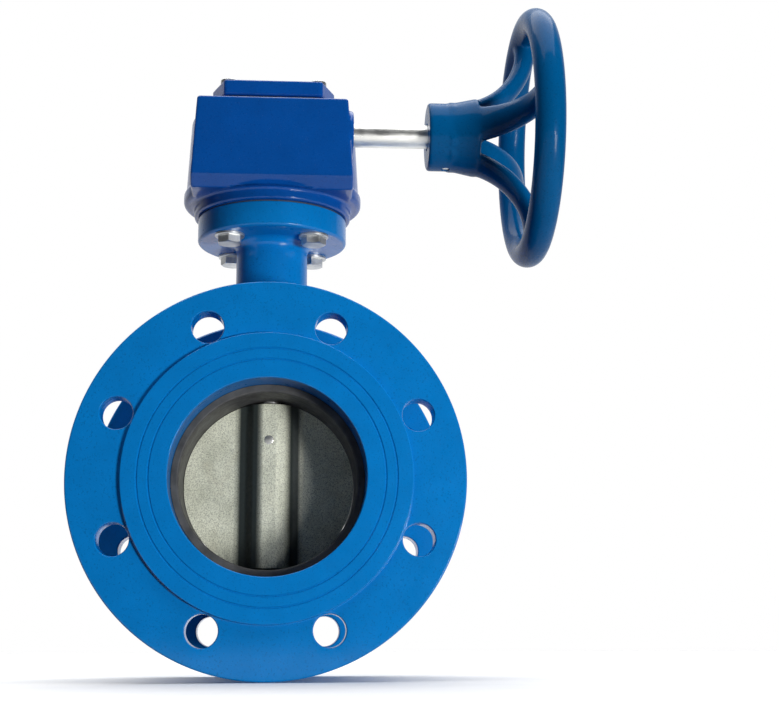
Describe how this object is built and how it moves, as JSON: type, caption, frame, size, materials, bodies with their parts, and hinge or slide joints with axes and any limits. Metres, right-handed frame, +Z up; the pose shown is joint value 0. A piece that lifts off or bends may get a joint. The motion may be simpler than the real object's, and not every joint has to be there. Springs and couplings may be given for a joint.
{
  "type": "butterfly valve",
  "caption": "Double-flanged concentric butterfly valve with rubber seat, cast disc, worm gear operator and spoked handwheel.",
  "frame": {"origin": "centre of the inlet flange's raised face, on the pipe's axis", "axes": "+Y along the pipe from inlet to outlet, +Z up along the stem to the gearbox, +X towards the handwheel"},
  "size_m": [0.2731, 0.1753, 0.3943],
  "materials": {
    "body_paint": "glossy epoxy paint on a sand casting",
    "gearbox_paint": "semi-gloss epoxy paint on a sand casting",
    "wheel_paint": "glossy enamel",
    "disc_iron": "sand-cast, speckled, lightly tanned",
    "gear_iron": "machined and greased",
    "bare_steel": "turned and polished",
    "zinc_steel": "zinc plated",
    "bronze": "turned bearing bronze",
    "seat_rubber": "matt moulded rubber",
    "seal_rubber": "matt moulded rubber",
    "gasket_fibre": "pressed fibre sheet",
    "pointer_plastic": "moulded yellow plastic"
  },
  "bodies": {
    "valve": {"valve_body": "body_paint", "seat_liner": "seat_rubber", "stem_bush_upper": "bronze", "stem_bush_middle": "bronze", "stem_bush_lower": "bronze", "stem_seal_rings": "seal_rubber", "bottom_plug": "zinc_steel", "bottom_plug_washer": "zinc_steel", "mounting_gasket": "gasket_fibre", "mounting_bolts": "zinc_steel", "mounting_washers": "zinc_steel", "gearbox_housing": "gearbox_paint", "cover_gasket": "gasket_fibre", "gearbox_cover": "gearbox_paint", "cover_screws": "zinc_steel", "worm_bush_blind": "bronze", "worm_bush_drive": "bronze", "thrust_washers": "bare_steel", "worm_shaft_seal": "seal_rubber", "worm_gland": "zinc_steel", "stop_screws": "zinc_steel", "stop_lock_nuts": "zinc_steel", "pointer_seal": "seal_rubber"},
    "closing_disc": {"disc": "disc_iron", "disc_pin": "bare_steel", "stem": "bare_steel", "stem_circlip": "bare_steel", "worm_wheel": "gear_iron", "position_pointer": "pointer_plastic", "pointer_screw": "zinc_steel"},
    "worm_drive": {"worm_shaft": "bare_steel", "handwheel": "wheel_paint", "handwheel_pin": "zinc_steel"}
  },
  "joints": [
    {"name": "stem_turn", "type": "hinge", "parent": "valve", "child": "closing_disc", "pos_m": [0, 0.0635, 0], "axis": [0, 0, 1], "range_deg": [0, 90]},
    {"name": "worm_spin", "type": "hinge", "parent": "valve", "child": "worm_drive", "pos_m": [0, 0.029, 0.207], "axis": [1, 0, 0], "range_deg": [0, 3240]}
  ],
  "couplings": [
    {"joint": "worm_spin", "follows": "stem_turn", "ratio": 36}
  ]
}
